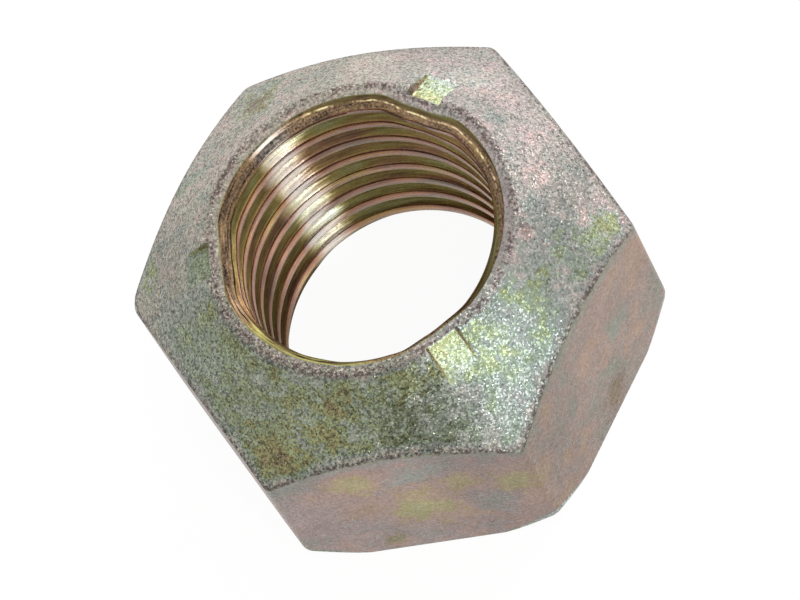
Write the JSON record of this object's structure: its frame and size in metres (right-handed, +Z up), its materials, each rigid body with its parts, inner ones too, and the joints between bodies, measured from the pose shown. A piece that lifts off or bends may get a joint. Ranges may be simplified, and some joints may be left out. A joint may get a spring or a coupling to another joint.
{
  "type": "lock nut",
  "caption": "Hexagon lock nut with a conical top crimped beside a threaded through bore, for a bolt that must not work loose.",
  "frame": {"origin": "centre of the bearing face, on the thread axis", "axes": "+Z up the thread axis from the bearing face to the crimped rim, +Y through a corner of the hexagon, +X through the middle of a flat"},
  "size_m": [0.0142, 0.0164, 0.009],
  "materials": {
    "plated_steel": "satin yellow-passivated zinc plating, iridescent and speckled"
  },
  "bodies": {
    "root": {"lock_nut": "plated_steel"}
  },
  "joints": []
}
